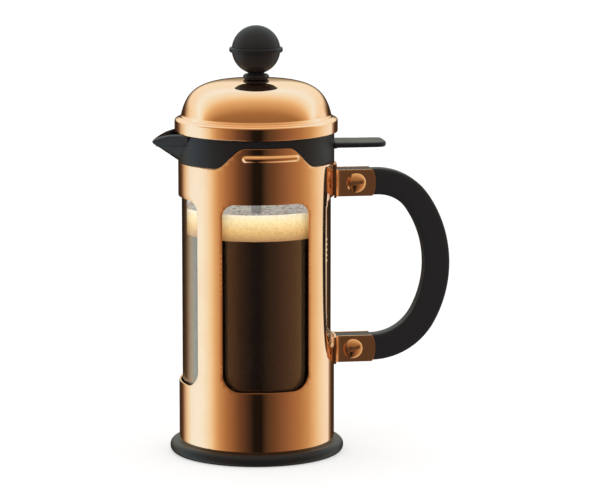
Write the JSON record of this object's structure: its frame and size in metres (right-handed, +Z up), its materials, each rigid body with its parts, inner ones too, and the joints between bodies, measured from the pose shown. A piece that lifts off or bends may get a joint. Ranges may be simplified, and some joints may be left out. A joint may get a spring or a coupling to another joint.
{
  "type": "french press",
  "caption": "Small french press coffee maker: glass beaker in a polished windowed sheet frame with side handle, pouring collar, turning domed lid and a plunger with a fine filter.",
  "frame": {"origin": "on the vertical axis of the beaker, at the height of the table", "axes": "+Z up along the beaker's axis, +X towards the handle, -X towards the spout, -Y towards the front window"},
  "size_m": [0.1409, 0.082, 0.2017],
  "materials": {
    "polished_copper": "polished copper-coloured metal, mirror bright",
    "black_plastic": "black, fine matte grain",
    "black_knob": "black, fine matte grain, moulded ball",
    "clear_glass": "clear borosilicate glass",
    "steel": "stainless steel",
    "seal": "black silicone"
  },
  "bodies": {
    "stand": {"base": "black_plastic", "base_screw_a": "steel", "base_screw_b": "steel", "base_screw_c": "steel", "beaker_seat": "black_plastic", "frame": "polished_copper", "upper_bracket": "polished_copper", "lower_bracket": "polished_copper", "handle": "black_plastic", "upper_screw": "polished_copper", "upper_nut": "polished_copper", "lower_screw": "polished_copper", "lower_nut": "polished_copper"},
    "glass": {"beaker": "clear_glass"},
    "collar_body": {"collar": "black_plastic"},
    "lid_ring": {"lid_gasket": "seal"},
    "lid": {"lid_dome": "polished_copper", "lid_liner": "black_plastic", "rod_bush": "black_plastic", "bush_nut": "steel"},
    "rod": {"plunger_rod": "steel"},
    "plunger": {"knob_lower": "black_knob", "knob_ring": "black_knob", "knob_upper": "black_knob", "knob_insert": "steel", "filter_nut": "steel", "spiral_plate": "steel", "filter_spring": "steel", "mesh_screen": "steel", "cross_plate": "steel"}
  },
  "joints": [
    {"name": "beaker_lift", "type": "slide", "parent": "stand", "child": "glass", "axis": [0, 0, 1], "range_m": [0, 0.15]},
    {"name": "collar_lift", "type": "slide", "parent": "glass", "child": "collar_body", "axis": [0, 0, 1], "range_m": [0, 0.03]},
    {"name": "lid_lift", "type": "slide", "parent": "collar_body", "child": "lid_ring", "axis": [0, 0, 1], "range_m": [0, 0.16]},
    {"name": "lid_turn", "type": "hinge", "parent": "lid_ring", "child": "lid", "pos_m": [0, 0, 0.1538], "axis": [0, 0, 1], "range_deg": [-90, 90]},
    {"name": "plunger_slide", "type": "slide", "parent": "lid", "child": "rod", "axis": [0, 0, 1], "range_m": [0, 0.115]},
    {"name": "plunger_spin", "type": "hinge", "parent": "rod", "child": "plunger", "pos_m": [0, 0, 0.19], "axis": [0, 0, 1], "continuous": true}
  ]
}
